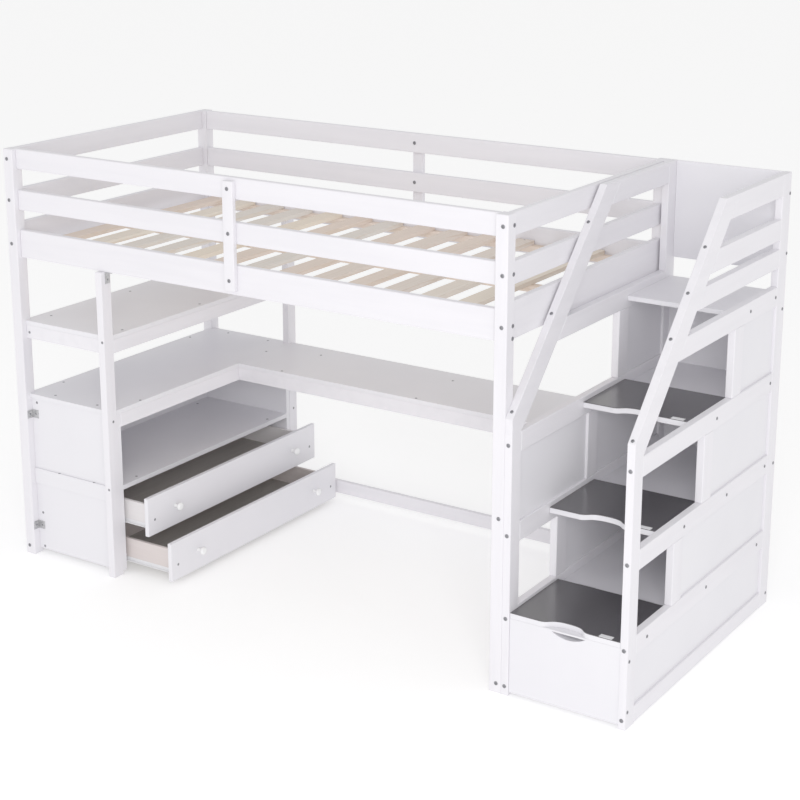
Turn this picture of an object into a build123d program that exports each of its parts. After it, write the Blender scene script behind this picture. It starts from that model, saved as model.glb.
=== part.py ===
from build123d import *

import os

# Loft bed with an L-shaped desk, a drawer cabinet and a storage staircase.
#
# Units are millimetres and +Z is up. Sizes are laid out from the front-left
# corner of the bed on the floor; `place` then moves every piece so that the
# origin is the middle of the footprint on the floor. A pair such as (18, 40)
# is always (low, high) along one axis.

# ---------------------------------------------------------------- overall size
BED_L = 2000              # bed frame, along X
BED_W = 1080              # bed frame, along Y
HEIGHT = 1490             # top of posts and guard rails
STAIR_W = 420             # staircase beyond the right end of the bed
ALL_L = BED_L + STAIR_W

# -------------------------------------------------------------- shared timber
POST_X, POST_Y = 42, 45
RAIL_T = 22               # thickness of every bed rail
RAIL_SET = 18             # long rails sit this far behind the outer face
END_SET = {"left": 3, "right": 7}   # end rails sit this far inside the end faces
RAIL_ROUND = 3.0          # edge rounding of posts and rails
ROUND = 2.0               # edge rounding of other timber
THIN_ROUND = 1.0          # edge rounding of thin boards
BOARD_T = 16

# ------------------------------------------------------------ rails and slats
TOP_RAIL = (1420, HEIGHT)
MID_RAIL = (1276, 1346)
SIDE_RAIL = (1108, 1206)
END_LOW_RAIL = (1112, 1228)
FRONT_BALUSTER_X = (960, 1002)
REAR_BALUSTER_X = (988, 1030)
BALUSTER_Z = (1122, 1480)
SLAT_TOP = 1160
SLAT_T = 15
SLAT_W = 65
SLAT_COUNT = 14
SLAT_FIRST = 110          # middle of the first slat
SLAT_PITCH = 137
LEDGER = 25               # square strip that carries the slat ends
LEDGER_GAP = 4            # from a post to the end of a ledger
BEAM_T = 24               # middle beam under the slats

# -------------------------------------------- unit under the left end of the bed
INNER_POST_X = (402, 430)
INNER_POST_D = 46
UNIT_LEFT = 25
UNIT_RIGHT = INNER_POST_X[1]
UNIT_FRONT = 22           # front edge of shelf and desk boards
UNIT_BACK = 1060
DESK_TOP = 610
DESK_REAR_Y = 720         # front edge of the rear wing of the desk
SHELF_TOP = 880
APRON_DROP = 49           # apron height below its board
APRON_T = 18
STRETCHER_Y = (1040, 1058)
STRETCHER_Z = (36, 88)

PANEL_Y = (28, 43)        # panels that close the cabinet towards the front
PANEL_RAIL_PROUD = 6
PANEL_RAIL_Z = (272, 330)
PANEL_FOOT = 20
SIDE_PANEL_Y = ((46, 66), (1014, 1034))
CARCASS_X = (27, 428)
CARCASS_FOOT = 12
BACK_PANEL_X = (15, 27)
CAB_SHELF = (312, 328)

# ------------------------------------ drawers, modelled partly pulled out
DRAWER_LOW = {"upper_drawer": 166, "lower_drawer": 21}
DRAWER_OPEN = {"upper_drawer": 105, "lower_drawer": 205}
DRAWER_CLOSED_X = 430.6   # rear face of a closed front
FRONT_T = 16
FRONT_Y = (50, 1030)
FRONT_H = 140
BOX_Y = (80, 1000)
BOX_DEPTH = 350
BOX_RISE = 20             # box underside above the front's lower edge
BOX_H = 84
BOX_T = 12
BOTTOM_RISE = 6
BOTTOM_T = 5
KNOB_IN = 145             # knob centre from each end of a front
KNOB_RISE = 72
KNOB_R, KNOB_FOOT_R, KNOB_NECK_R = 14.5, 7.5, 6
KNOB_FOOT_L, KNOB_BULGE, KNOB_L = 16, 23, 30
KNOB_RIM_R, KNOB_FLAT_R, KNOB_CROWN = 10, 6, 1
RUNNER_X = (62, 422)
RUNNER_T = 1.6
RUNNER_H = 26             # fixed channel
RUNNER_D = 11
SLIDE_D = 10              # flange of the moving angle
SLIDE_H = 12
SLIDE_LIFT = 5            # moving angle above the channel's underside
RUNNER_RISE = -3          # channel above the box's underside
SLIDE_INSET = 2           # moving angle short of the box at each end

# ------------------------------------------------------------------ staircase
SIDE_T = 25               # thickness of the two side frames
STAIR_IN = (BED_L + SIDE_T, ALL_L - SIDE_T)          # between the side frames
STAIR_MID = (STAIR_IN[0] + STAIR_IN[1]) / 2
TREAD_TOP = (275, 537, 821)
LANDING_TOP = 1100
TREAD_Y = ((4, 304), (238, 532), (442, 730))
RISER_STILE = ((292, 358), (484, 550), (680, 748))
FRONT_STILE = (0, 56)
BACK_STILE = (1012, BED_W)
STEP_RAIL_H = 64
STEP_RAIL_TOP = (285, 552, 836, 1124)
BASE_RAIL = (3, 58)
GUARD_RAILS = (TOP_RAIL, (1278, 1346), (1186, 1248))
HANDRAIL_FOOT = 885       # height of the handrail's front edge
HANDRAIL_SLOPE = 1.077
PANEL_T = 9
PANEL_SET = 8             # frame panels sit this far behind the frame's face
MAT_T = 2
LID_T = 15.5
TREAD_GAP = 1.5           # from a tread to each side frame
NOTCH_W, NOTCH_D = 160, 28
NOTCH_SHOULDER = 0.62     # where the notch turns, as a part of its size
NOTCH_EASE = 0.12         # slope of the notch where it meets the straight edge
FLOOR_TOP = (256, TREAD_TOP[1] - MAT_T - BOARD_T, TREAD_TOP[2] - MAT_T - BOARD_T)
FLOOR_FRONT = (316, 316, 540)
REAR_WALL_Y = (1058, 1067)
REAR_GUARD_Y = (1067, 1076)
REAR_GUARD_FOOT = 1162
BOX_FRONT_Y = (4, 20)
BOX_REAR_Y = (320, 335)
BOX_FOOT = 12
BOX_FRONT_TOP = 257
BOX_REAR_TOP = 240
SLOT_W, SLOT_D = 112, 16
SLOT_X, SLOT_TOP = 2224, 252
CLEAT_Y, CLEAT_FOOT = 34, 224       # thicker upper edge of the box front

# --------------------------------------------------------------- lid hinges
HINGE_Y, HINGE_Z = 310, 258
HINGE_X = (2110, 2310)
HINGE_HALF = 30           # half the length of a hinge
BARREL_R, PIN_R, BORE_R = 3.5, 1.75, 1.81
BARREL_HALF = 15.5        # half the length of the lid's knuckle
KNUCKLE_L = 14
LEAF_Z = (256, 257.5)
FIXED_LEAF, LID_LEAF = 26, 28
LEAF_NECK = 4             # how far the lid's knuckle strap runs under the lid

# ------------------------------------------------------- bolts and brackets
BOLT_R, SMALL_BOLT_R, BOLT_PROUD = 6.5, 5.5, 1.5
BOLT_OFF = 4              # post bolts sit this far off the post's middle
RAIL_BOLT_Y = 35          # end-face bolts from the front or rear face
FOOT_BOLT_Z, DESK_BOLT_Z, END_BOLT_Z = 32, 568, 1119
BOX_BOLT_Z = (56, 218)
WALL_BOLT_Z = (40, 509, 1040)
GUARD_BOLT_Z = (1224, 1421)
BRACKET_T, BRACKET_LEG, BRACKET_H = 2, 30, 30
RAIL_BRACKET_H = 42
BRACKET_FOOT = (520, 97)  # lower ends of the two brackets on the cabinet
BRACKET_EDGE = 2          # bracket behind the post's front face
SIDE_BOLT_Y = ((126, 548, 956), (359, 677, 988), (568, 996), (794, 999))
OUTER_SLOPE_BOLT_Y = (445, 337, 232, 7)
INNER_SLOPE_BOLT_Y = (467, 245, 17)


def place(shape):
    """Move from the corner layout to the centred origin."""
    return Pos(-ALL_L / 2, -BED_W / 2, 0) * shape


def raw(x, y, z):
    """A sharp-edged block between three (low, high) pairs."""
    size = (x[1] - x[0], y[1] - y[0], z[1] - z[0])
    return Pos(x[0], y[0], z[0]) * Box(*size, align=(Align.MIN, Align.MIN, Align.MIN))


def board(x, y, z, rounding=ROUND):
    """A board between three (low, high) pairs, with rounded edges."""
    solid = raw(x, y, z)
    return fillet(solid.edges(), rounding)


def cut(solid, *tools):
    """Subtract each tool and keep the result as one solid."""
    for tool in tools:
        solid = solid - tool
    return solid


def rod(start, axis, radius, length):
    """A round bar from `start` along `axis`."""
    plane = Plane(origin=start, z_dir=axis)
    return plane * Cylinder(radius, length, align=(Align.CENTER, Align.CENTER, Align.MIN))


def side_profile(points, x, sharp_z=None):
    """Extrude a (Y, Z) outline between two X positions and round its edges.

    The edges at height `sharp_z` stay sharp, for a flush joint there.
    """
    outline = Plane.YZ * make_face(Polyline(*points, close=True))
    solid = Pos(x[0], 0, 0) * extrude(outline, amount=x[1] - x[0])
    return fillet([e for e in solid.edges() if round(e.center().Z, 3) != sharp_z], ROUND)


def flush_post(x, y, z):
    """A post whose top edges stay sharp, for a flush joint there."""
    solid = raw(x, y, z)
    return fillet([e for e in solid.edges() if round(e.center().Z, 3) < z[1]], ROUND)


def middle(pair):
    """The middle of a (low, high) pair."""
    return (pair[0] + pair[1]) / 2


def save(node, *solids):
    """Write one node, made of one or more separate solids."""
    shapes = [place(s) for s in solids]
    shape = shapes[0] if len(shapes) == 1 else Compound(children=shapes)
    export_step(shape, f"parts/{node}.step")


# --------------------------------------------------------------------- the bed
def bed_posts():
    """Four corner posts, full height."""
    xs = {"left": (0, POST_X), "right": (BED_L - POST_X, BED_L)}
    ys = {"front": (0, POST_Y), "rear": (BED_W - POST_Y, BED_W)}
    for end, x in xs.items():
        for side, y in ys.items():
            save(f"post_{side}_{end}", board(x, y, (0, HEIGHT), RAIL_ROUND))


def long_side_rails():
    """Deck rail and two guard rails on each long side, with one baluster."""
    x = (POST_X, BED_L - POST_X)
    front = (RAIL_SET, RAIL_SET + RAIL_T)
    rear = (BED_W - RAIL_SET - RAIL_T, BED_W - RAIL_SET)
    for side, y in (("front", front), ("rear", rear)):
        save(f"side_rail_{side}", board(x, y, SIDE_RAIL, RAIL_ROUND))
        guards = [board(x, y, z, RAIL_ROUND) for z in (TOP_RAIL, MID_RAIL)]
        save(f"guard_rails_{side}", *guards)
    front_y, rear_y = (0, RAIL_SET), (BED_W - RAIL_SET, BED_W)
    save("baluster_front", board(FRONT_BALUSTER_X, front_y, BALUSTER_Z, RAIL_ROUND))
    save("baluster_rear", board(REAR_BALUSTER_X, rear_y, BALUSTER_Z, RAIL_ROUND))


def end_rails():
    """Three rails across each end of the bed."""
    y = (POST_Y, BED_W - POST_Y)
    right = BED_L - END_SET["right"]
    spans = {
        "left": (END_SET["left"], END_SET["left"] + RAIL_T),
        "right": (right - RAIL_T, right),
    }
    for end, x in spans.items():
        rails = [board(x, y, z, RAIL_ROUND) for z in (TOP_RAIL, MID_RAIL, END_LOW_RAIL)]
        save(f"end_rails_{end}", *rails)


def slats():
    """Ledgers, middle beam and the loose slats that lie on them."""
    top = SLAT_TOP - SLAT_T
    under = (top - LEDGER, top)
    inner = RAIL_SET + RAIL_T
    x = (POST_X + LEDGER_GAP, BED_L - POST_X - LEDGER_GAP)
    front = board(x, (inner, inner + LEDGER), under)
    rear = board(x, (BED_W - inner - LEDGER, BED_W - inner), under)
    mid = (BED_W / 2 - BEAM_T / 2, BED_W / 2 + BEAM_T / 2)
    ends = (END_SET["left"] + RAIL_T, BED_L - END_SET["right"] - RAIL_T)
    beam = board(ends, mid, under)
    save("slat_supports", front, rear, beam)
    slat_y = (inner + LEDGER_GAP, BED_W - inner - LEDGER_GAP)
    pieces = []
    for i in range(SLAT_COUNT):
        centre = SLAT_FIRST + i * SLAT_PITCH
        span = (centre - SLAT_W / 2, centre + SLAT_W / 2)
        pieces.append(board(span, slat_y, (top, SLAT_TOP), THIN_ROUND))
    save("bed_slats", *pieces)


# ------------------------------------------------- shelf, desk and drawer unit
def inner_posts():
    """Two shorter posts under the deck rails and the stretcher at the rear."""
    z = (0, SIDE_RAIL[0])
    save("inner_post_front", board(INNER_POST_X, (0, INNER_POST_D), z))
    save("inner_post_rear", board(INNER_POST_X, (BED_W - INNER_POST_D, BED_W), z))
    stretcher_x = (UNIT_RIGHT, BED_L - POST_X)
    save("rear_stretcher", board(stretcher_x, STRETCHER_Y, STRETCHER_Z))


def post_notches(z):
    """Blocks that clear the two left bed posts and the two inner posts."""
    past = 1
    left = (-past, POST_X)
    inner = (INNER_POST_X[0], UNIT_RIGHT + past)
    blocks = []
    for x, depth in ((left, POST_Y), (inner, INNER_POST_D)):
        blocks.append(raw(x, (-past, depth), z))
        blocks.append(raw(x, (BED_W - depth, BED_W + past), z))
    return blocks


def unit_board(top):
    """One board over the left unit, notched round its four posts."""
    z = (top - BOARD_T, top)
    plain = board((UNIT_LEFT, UNIT_RIGHT), (UNIT_FRONT, UNIT_BACK), z, THIN_ROUND)
    return cut(plain, *post_notches((z[0] - 1, z[1] + 1)))


def upper_shelf():
    """Shelf over the left wing of the desk, with an apron on each side."""
    save("upper_shelf_board", unit_board(SHELF_TOP))
    low = (SHELF_TOP - BOARD_T - APRON_DROP, SHELF_TOP - BOARD_T)
    between = (POST_X, INNER_POST_X[0])
    save(
        "upper_shelf_aprons",
        board(between, (UNIT_FRONT, UNIT_FRONT + APRON_T), low),
        board(between, (UNIT_BACK - APRON_T, UNIT_BACK), low),
        board((UNIT_RIGHT - APRON_T, UNIT_RIGHT), (INNER_POST_D, BED_W - INNER_POST_D), low),
        board((UNIT_LEFT, UNIT_LEFT + APRON_T), (POST_Y, BED_W - POST_Y), low),
    )


def desk():
    """The two wings of the desk and their aprons."""
    save("desk_top_left", unit_board(DESK_TOP))
    z = (DESK_TOP - BOARD_T, DESK_TOP)
    rear = board((UNIT_RIGHT, BED_L), (DESK_REAR_Y, UNIT_BACK), z, THIN_ROUND)
    corner_x = (BED_L - POST_X, BED_L + 1)
    corner = raw(corner_x, (BED_W - POST_Y, BED_W), (z[0] - 1, z[1] + 1))
    save("desk_top_rear", cut(rear, corner))
    low = (z[0] - APRON_DROP, z[0])
    wall_y = (SIDE_PANEL_Y[0][1], SIDE_PANEL_Y[1][0])
    save(
        "desk_aprons",
        board((UNIT_RIGHT - APRON_T, UNIT_RIGHT), wall_y, low),
        board((UNIT_RIGHT, BED_L), (DESK_REAR_Y, DESK_REAR_Y + APRON_T), low),
        board((UNIT_RIGHT, BED_L - POST_X), (UNIT_BACK - APRON_T, UNIT_BACK), low),
    )


def cabinet():
    """Cabinet under the left wing: panels, sides, back, shelf and runners."""
    x = (POST_X, INNER_POST_X[0])
    under_desk = DESK_TOP - BOARD_T
    rail_y = (PANEL_Y[0] - PANEL_RAIL_PROUD, PANEL_Y[1])
    save(
        "cabinet_front_panels",
        board(x, PANEL_Y, (PANEL_RAIL_Z[1], under_desk), THIN_ROUND),
        board(x, rail_y, PANEL_RAIL_Z),
        board(x, PANEL_Y, (PANEL_FOOT, PANEL_RAIL_Z[0]), THIN_ROUND),
    )
    carcass_z = (CARCASS_FOOT, under_desk)
    sides = [board(CARCASS_X, y, carcass_z, THIN_ROUND) for y in SIDE_PANEL_Y]
    save("cabinet_side_panels", *sides)
    back_y = (POST_Y, BED_W - POST_Y)
    save("cabinet_back_panel", board(BACK_PANEL_X, back_y, carcass_z, THIN_ROUND))
    wall_y = (SIDE_PANEL_Y[0][1], SIDE_PANEL_Y[1][0])
    save("cabinet_shelf", board(CARCASS_X, wall_y, CAB_SHELF, THIN_ROUND))
    runners = []
    for low in DRAWER_LOW.values():
        base = low + BOX_RISE + RUNNER_RISE
        runners.append(fixed_runner(wall_y[0], 1, base))
        runners.append(fixed_runner(wall_y[1], -1, base))
    save("cabinet_runners", *runners)


def ordered(a, b):
    """A (low, high) pair from two numbers in either order."""
    return (min(a, b), max(a, b))


def fixed_runner(wall_y, side, base):
    """Open channel screwed to a cabinet side; `side` is the way it opens."""
    web_y = ordered(wall_y, wall_y + side * RUNNER_T)
    lip_y = ordered(wall_y, wall_y + side * RUNNER_D)
    top = base + RUNNER_H
    web = raw(RUNNER_X, web_y, (base, top))
    low = raw(RUNNER_X, lip_y, (base, base + RUNNER_T))
    high = raw(RUNNER_X, lip_y, (top - RUNNER_T, top))
    return web + low + high


def moving_runner(box_y, side, base, x):
    """Angle screwed to a drawer side, its flange inside the fixed channel."""
    low = base + SLIDE_LIFT
    web = raw(x, ordered(box_y, box_y - side * RUNNER_T), (low, low + SLIDE_H))
    flange = raw(x, ordered(box_y, box_y - side * SLIDE_D), (low, low + RUNNER_T))
    return web + flange


def drawer(name):
    """One drawer, pulled out as far as DRAWER_OPEN says."""
    low = DRAWER_LOW[name]
    back = DRAWER_CLOSED_X + DRAWER_OPEN[name]
    x = (back - BOX_DEPTH, back)
    z = (low + BOX_RISE, low + BOX_RISE + BOX_H)
    inside = (BOX_Y[0] + BOX_T, BOX_Y[1] - BOX_T)
    save(f"{name}_front", board((back, back + FRONT_T), FRONT_Y, (low, low + FRONT_H)))
    save(
        f"{name}_walls",
        board(x, (BOX_Y[0], inside[0]), z, THIN_ROUND),
        board(x, (inside[1], BOX_Y[1]), z, THIN_ROUND),
        board((x[0], x[0] + BOX_T), inside, z, THIN_ROUND),
    )
    bottom_z = (z[0] + BOTTOM_RISE, z[0] + BOTTOM_RISE + BOTTOM_T)
    save(f"{name}_bottom", raw((x[0] + BOX_T, back), inside, bottom_z))
    knob_y = (FRONT_Y[0] + KNOB_IN, FRONT_Y[1] - KNOB_IN)
    save(f"{name}_knobs", *[knob((back + FRONT_T, y, low + KNOB_RISE)) for y in knob_y])
    base = z[0] + RUNNER_RISE
    run = (x[0] + SLIDE_INSET, x[1] - SLIDE_INSET)
    slides = (moving_runner(BOX_Y[0], 1, base, run), moving_runner(BOX_Y[1], -1, base, run))
    save(f"{name}_runners", *slides)


def knob(centre):
    """Round turned knob, its foot on the drawer front."""
    crown = KNOB_L - KNOB_CROWN
    outline = [
        Line((0, 0), (KNOB_FOOT_R, 0)),
        ThreePointArc((KNOB_FOOT_R, 0), (KNOB_NECK_R, KNOB_FOOT_L / 2), (KNOB_FOOT_R, KNOB_FOOT_L)),
        ThreePointArc((KNOB_FOOT_R, KNOB_FOOT_L), (KNOB_R, KNOB_BULGE), (KNOB_RIM_R, crown)),
        Line((KNOB_RIM_R, crown), (KNOB_FLAT_R, KNOB_L)),
        Line((KNOB_FLAT_R, KNOB_L), (0, KNOB_L)),
        Line((0, KNOB_L), (0, 0)),
    ]
    turned = revolve(Plane.XZ * make_face(outline), axis=Axis.Z)
    return Pos(*centre) * Rot(0, 90, 0) * turned


# ------------------------------------------------------------------- staircase
def handrail_front(z):
    """Y of the handrail's front face at height z."""
    return (z - HANDRAIL_FOOT) / HANDRAIL_SLOPE


def handrail_back(z):
    """Y of the handrail's rear face at height z."""
    return FRONT_STILE[1] + (z - STEP_RAIL_TOP[2]) / HANDRAIL_SLOPE


def handrail(x):
    """Sloping handrail, cut level at both ends."""
    foot = STEP_RAIL_TOP[2]
    outline = [
        (0, foot),
        (0, HANDRAIL_FOOT),
        (handrail_front(HEIGHT), HEIGHT),
        (handrail_back(HEIGHT), HEIGHT),
        (FRONT_STILE[1], foot),
    ]
    return side_profile(outline, x, foot)


def rail_from_handrail(x, z):
    """A level rail running from the handrail's rear face to the back stile."""
    points = [
        (handrail_back(z[0]), z[0]),
        (handrail_back(z[1]), z[1]),
        (BACK_STILE[0], z[1]),
        (BACK_STILE[0], z[0]),
    ]
    return side_profile(points, x)


def step_rail_z(level):
    """(low, high) of a side frame's rail at one tread or at the landing."""
    return (STEP_RAIL_TOP[level] - STEP_RAIL_H, STEP_RAIL_TOP[level])


def side_frame(name, x, front_panel):
    """One side frame; `front_panel` also closes the bay at desk height."""
    bays = [(STEP_RAIL_TOP[i], step_rail_z(i + 1)[0]) for i in range(3)]
    stiles = [flush_post(x, FRONT_STILE, (0, STEP_RAIL_TOP[2]))]
    stiles += [board(x, y, z, RAIL_ROUND) for y, z in zip(RISER_STILE, bays)]
    stiles.append(board(x, BACK_STILE, (0, HEIGHT), RAIL_ROUND))
    save(f"stair_{name}_stiles", *stiles)

    run = (FRONT_STILE[1], BACK_STILE[0])
    rails = [board(x, run, BASE_RAIL, RAIL_ROUND)]
    rails += [board(x, run, step_rail_z(level), RAIL_ROUND) for level in range(3)]
    rails.append(rail_from_handrail(x, step_rail_z(3)))
    save(f"stair_{name}_rails", *rails)

    panel_x = (x[0] + PANEL_SET, x[0] + PANEL_SET + PANEL_T)
    panels = [raw(panel_x, run, (BASE_RAIL[1], step_rail_z(0)[0]))]
    panels += [raw(panel_x, (y[1], run[1]), z) for y, z in zip(RISER_STILE, bays)]
    if front_panel:
        panels.append(raw(panel_x, (run[0], RISER_STILE[1][0]), bays[1]))
    save(f"stair_{name}_panels", *panels)
    save(f"stair_{name}_handrail", handrail(x))


def stair_frames():
    """Both side frames and the rails that guard the landing."""
    inner = (BED_L, BED_L + SIDE_T)
    outer = (ALL_L - SIDE_T, ALL_L)
    side_frame("inner", inner, True)
    side_frame("outer", outer, False)
    guards = [rail_from_handrail(outer, z) for z in GUARD_RAILS]
    guards.append(rail_from_handrail(inner, TOP_RAIL))
    save("stair_guard_rails", *guards)


def notched_board(y, z):
    """Tread with a smooth finger notch in the middle of its front edge."""
    x = (STAIR_IN[0] + TREAD_GAP, STAIR_IN[1] - TREAD_GAP)
    half, front = NOTCH_W / 2, y[0]
    turn_x, turn_y = half * NOTCH_SHOULDER, front + NOTCH_D * NOTCH_SHOULDER
    notch = Spline(
        (STAIR_MID - half, front),
        (STAIR_MID - turn_x, turn_y),
        (STAIR_MID, front + NOTCH_D),
        (STAIR_MID + turn_x, turn_y),
        (STAIR_MID + half, front),
        tangents=[(1, NOTCH_EASE), (1, -NOTCH_EASE)],
    )
    rest = Polyline(
        (STAIR_MID + half, front),
        (x[1], front),
        (x[1], y[1]),
        (x[0], y[1]),
        (x[0], front),
        (STAIR_MID - half, front),
    )
    return Pos(0, 0, z[0]) * extrude(make_face(notch + rest), amount=z[1] - z[0])


def treads():
    """Three treads with their mats, the bay floors and the landing."""
    names = ("lid_board", "tread_middle", "tread_upper")
    thicknesses = (LID_T, BOARD_T, BOARD_T)
    mats = []
    for name, y, top, thick in zip(names, TREAD_Y, TREAD_TOP, thicknesses):
        save(name, notched_board(y, (top - MAT_T - thick, top - MAT_T)))
        mats.append(notched_board((y[0] + 1, y[1]), (top - MAT_T, top)))
    save("lid_mat", mats[0])
    save("tread_mats", *mats[1:])
    floors = []
    for front, top in zip(FLOOR_FRONT, FLOOR_TOP):
        span = (front, REAR_WALL_Y[0])
        floors.append(board(STAIR_IN, span, (top - BOARD_T, top), THIN_ROUND))
    save("stair_floors", *floors)
    landing_y = (TREAD_Y[2][1] + 2, REAR_WALL_Y[0])
    save("landing_board", board(STAIR_IN, landing_y, (LANDING_TOP - BOARD_T, LANDING_TOP)))


def finger_slot():
    """Cutter for the slot: flat at the top, curved at the bottom."""
    radius = ((SLOT_W / 2) ** 2 + SLOT_D ** 2) / (2 * SLOT_D)
    low, through = SLOT_TOP - SLOT_D, 4 * BOARD_T
    centre = Pos(SLOT_X, middle(BOX_FRONT_Y), low + radius)
    bowl = centre * Rot(90, 0, 0) * Cylinder(radius, 2 * through)
    span = (SLOT_X - SLOT_W, SLOT_X + SLOT_W)
    return bowl & raw(span, (-through, through), (low - 1, SLOT_TOP))


def stair_box():
    """Storage box under the lid, and the panels behind the staircase."""
    front = board(STAIR_IN, BOX_FRONT_Y, (BOX_FOOT, BOX_FRONT_TOP))
    front += raw(STAIR_IN, (BOX_FRONT_Y[1] - ROUND, CLEAT_Y), (CLEAT_FOOT, BOX_FRONT_TOP))
    save("stair_box_front", cut(front, finger_slot()))
    bottom_y = (BOX_FRONT_Y[1], BOX_REAR_Y[0])
    save(
        "stair_box_panels",
        board(STAIR_IN, BOX_REAR_Y, (BOX_FOOT, BOX_REAR_TOP)),
        board(STAIR_IN, bottom_y, (BOX_FOOT, BOX_FOOT + PANEL_T), THIN_ROUND),
    )
    wall_z = (PANEL_FOOT, LANDING_TOP - BOARD_T)
    guard_z = (REAR_GUARD_FOOT, HEIGHT)
    wall = raw(STAIR_IN, REAR_WALL_Y, wall_z)
    guard = board(STAIR_IN, REAR_GUARD_Y, guard_z)
    save("stair_rear_panels", wall, guard)


def fixed_hinge_leaf(x):
    """Leaf on the bay floor, with its two knuckles and the pin."""
    axis_start = (x - HINGE_HALF, HINGE_Y, HINGE_Z)
    leaf = rod(axis_start, (1, 0, 0), PIN_R, 2 * HINGE_HALF)
    seat = (FLOOR_FRONT[0], FLOOR_FRONT[0] + FIXED_LEAF)
    leaf += raw((x - HINGE_HALF, x + HINGE_HALF), seat, LEAF_Z)
    for start in (x - HINGE_HALF, x + HINGE_HALF - KNUCKLE_L):
        leaf += rod((start, HINGE_Y, HINGE_Z), (1, 0, 0), BARREL_R, KNUCKLE_L)
        leaf += raw((start, start + KNUCKLE_L), (HINGE_Y, FLOOR_FRONT[0] + 1), LEAF_Z)
    return leaf


def lid_hinge_leaf(x):
    """Leaf under the lid, with its knuckle bored for the pin."""
    span = (x - BARREL_HALF, x + BARREL_HALF)
    rear = TREAD_Y[0][1]
    leaf = rod((span[0], HINGE_Y, HINGE_Z), (1, 0, 0), BARREL_R, 2 * BARREL_HALF)
    leaf += raw(span, (rear - LEAF_NECK, HINGE_Y), LEAF_Z)
    leaf += raw((x - HINGE_HALF, x + HINGE_HALF), (rear - LID_LEAF, rear), LEAF_Z)
    return cut(leaf, rod((x - HINGE_HALF, HINGE_Y, HINGE_Z), (1, 0, 0), BORE_R, 2 * HINGE_HALF))


def hinges():
    """Two butt hinges under the lid."""
    save("hinge_leaves_fixed", *[fixed_hinge_leaf(x) for x in HINGE_X])
    save("hinge_leaves_lid", *[lid_hinge_leaf(x) for x in HINGE_X])


# -------------------------------------------------------------------- hardware
def bed_bolts():
    """Bolt heads on the posts and balusters of the bed."""
    rail_mid = [middle(z) for z in (TOP_RAIL, MID_RAIL, SIDE_RAIL)]
    front, rear = (0, -1, 0), (0, 1, 0)
    offset = POST_X / 2 - BOLT_OFF
    heads = []
    for x in (offset, BED_L - offset):
        for z in rail_mid + [FOOT_BOLT_Z]:
            heads.append(rod((x, 0, z), front, BOLT_R, BOLT_PROUD))
            heads.append(rod((x, BED_W, z), rear, BOLT_R, BOLT_PROUD))
    heads.append(rod((BED_L - offset, 0, DESK_BOLT_Z), front, BOLT_R, BOLT_PROUD))
    inner_face = BED_W - RAIL_SET - RAIL_T
    for z in rail_mid:
        heads.append(rod((middle(FRONT_BALUSTER_X), 0, z), front, BOLT_R, BOLT_PROUD))
        heads.append(rod((middle(REAR_BALUSTER_X), BED_W, z), rear, BOLT_R, BOLT_PROUD))
        if z > SLAT_TOP:
            heads.append(rod((middle(REAR_BALUSTER_X), inner_face, z), front, BOLT_R, BOLT_PROUD))
    for y in (RAIL_BOLT_Y, BED_W - RAIL_BOLT_Y):
        for z in rail_mid + [FOOT_BOLT_Z, DESK_BOLT_Z]:
            heads.append(rod((0, y, z), (-1, 0, 0), BOLT_R, BOLT_PROUD))
    for z in rail_mid + [END_BOLT_Z]:
        heads.append(rod((BED_L, RAIL_BOLT_Y, z), (1, 0, 0), BOLT_R, BOLT_PROUD))
    return heads


def stair_bolts():
    """Bolt heads on the staircase's front, outer side and handrails."""
    rail_z = [middle(BASE_RAIL)] + [middle(step_rail_z(i)) for i in range(3)]
    inner_x, outer_x = BED_L + SIDE_T / 2, ALL_L - SIDE_T / 2
    right = (1, 0, 0)
    heads = []
    for z in rail_z:
        for x in (inner_x, outer_x):
            heads.append(rod((x, 0, z), (0, -1, 0), BOLT_R, BOLT_PROUD))
    for level, places in enumerate(SIDE_BOLT_Y):
        z = middle(step_rail_z(level))
        heads += [rod((ALL_L, y, z), right, SMALL_BOLT_R, BOLT_PROUD) for y in places]
    held = (
        (middle(BOX_FRONT_Y), BOX_BOLT_Z),
        (middle(REAR_WALL_Y), WALL_BOLT_Z),
        (middle(REAR_GUARD_Y), GUARD_BOLT_Z),
    )
    for y, heights in held:
        heads += [rod((ALL_L, y, z), right, SMALL_BOLT_R, BOLT_PROUD) for z in heights]
    normal = (0, -HANDRAIL_SLOPE, 1)
    for x, places in ((outer_x, OUTER_SLOPE_BOLT_Y), (inner_x, INNER_SLOPE_BOLT_Y)):
        for y in places:
            z = HANDRAIL_FOOT + y * HANDRAIL_SLOPE
            heads.append(rod((x, y, z), normal, SMALL_BOLT_R, BOLT_PROUD))
    return heads


def bracket(corner, post_y, panel_y):
    """Galvanised angle in the corner between a post and a panel."""
    x, z = corner
    height = (z, z + BRACKET_H)
    post_leg = raw((x, x + BRACKET_T), post_y, height)
    panel_leg = raw((x, x + BRACKET_LEG), panel_y, height)
    return post_leg + panel_leg


def rail_bracket():
    """Angle that hangs the inner post from the deck rail."""
    x, top = UNIT_RIGHT, SIDE_RAIL[0]
    y = (RAIL_SET, RAIL_SET + RAIL_T)
    leg = raw((x, x + BRACKET_T), y, (top - RAIL_BRACKET_H, top))
    foot = raw((x, x + BRACKET_LEG), y, (top - BRACKET_T, top))
    return leg + foot


def hardware():
    """Bolt heads and brackets."""
    save("frame_bolts", *bed_bolts(), *stair_bolts())
    panel_leg = (PANEL_Y[0] - BRACKET_T, PANEL_Y[0])
    post_leg = (BRACKET_EDGE, PANEL_Y[0])
    angles = [bracket((POST_X, z), post_leg, panel_leg) for z in BRACKET_FOOT]
    save("corner_brackets", *angles, rail_bracket())


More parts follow.
